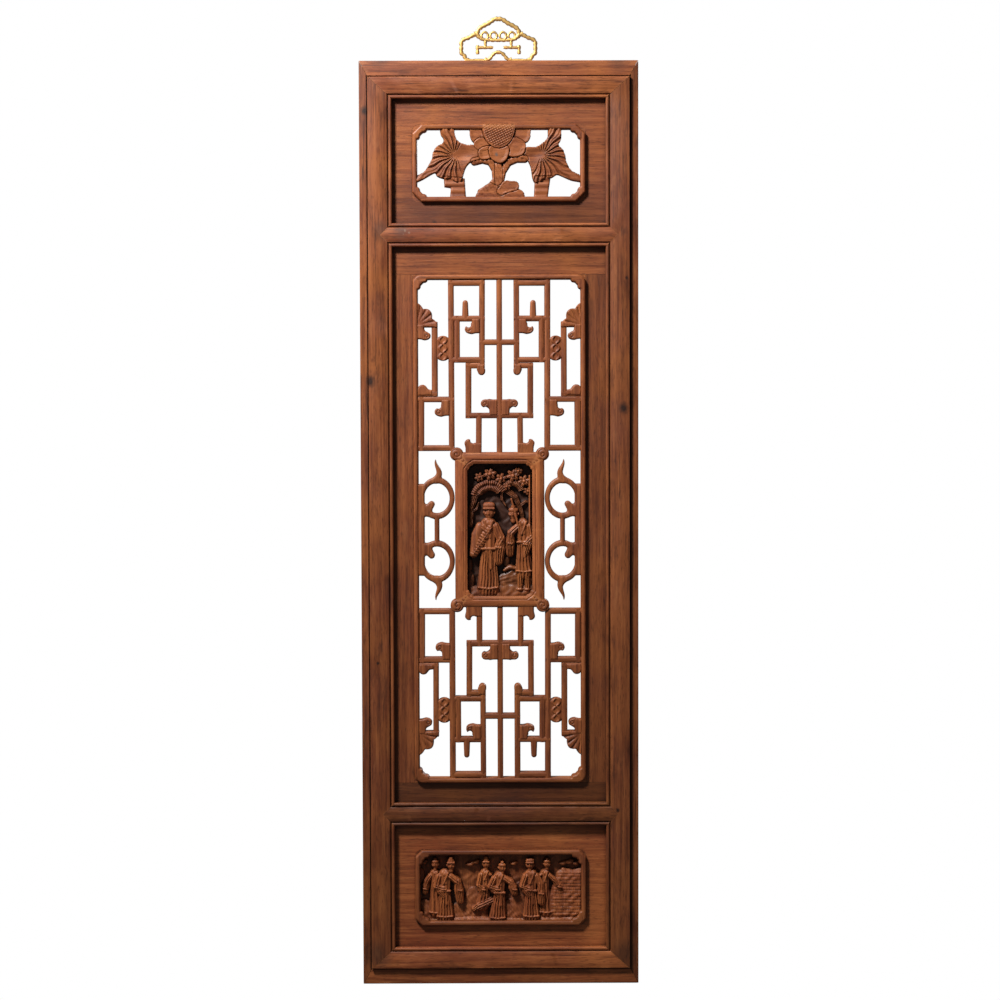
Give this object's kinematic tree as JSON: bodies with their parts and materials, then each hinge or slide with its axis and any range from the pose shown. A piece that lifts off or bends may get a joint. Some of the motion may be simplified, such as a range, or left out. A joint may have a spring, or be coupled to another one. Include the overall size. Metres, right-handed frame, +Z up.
{
  "type": "carved window panel",
  "caption": "Tall moulded wooden window panel with pierced lotus carving, mirrored fretwork around a figure cartouche, a figure frieze and an openwork brass hanger.",
  "frame": {"origin": "middle of the flat underside of the hanger's arch, where the nail bears", "axes": "+Z up along the panel, -Y out of the carved front, +X to the right seen from the front"},
  "size_m": [0.354, 0.0394, 1.2396],
  "materials": {
    "frame_wood": "aged reddish brown, waxed",
    "board_wood": "aged reddish brown, dull",
    "carved_wood": "aged reddish brown, worn edges",
    "fret_wood": "aged orange brown, waxed",
    "relief_wood": "aged reddish brown with dark recesses",
    "hanger_brass": "polished",
    "screw_steel": "dull"
  },
  "bodies": {
    "root": {"left_stile": "frame_wood", "right_stile": "frame_wood", "top_rail": "frame_wood", "bottom_rail": "frame_wood", "upper_cross_rail": "frame_wood", "lower_cross_rail": "frame_wood", "top_board": "board_wood", "bottom_board": "board_wood", "centre_board_top": "board_wood", "centre_board_bottom": "board_wood", "centre_board_left": "board_wood", "centre_board_right": "board_wood", "lotus_panel": "carved_wood", "fretwork_panel": "fret_wood", "cartouche_relief": "relief_wood", "figure_panel_border": "carved_wood", "figure_relief": "relief_wood", "brass_hanger": "hanger_brass", "hanger_screw_left": "screw_steel", "hanger_screw_right": "screw_steel"}
  },
  "joints": []
}
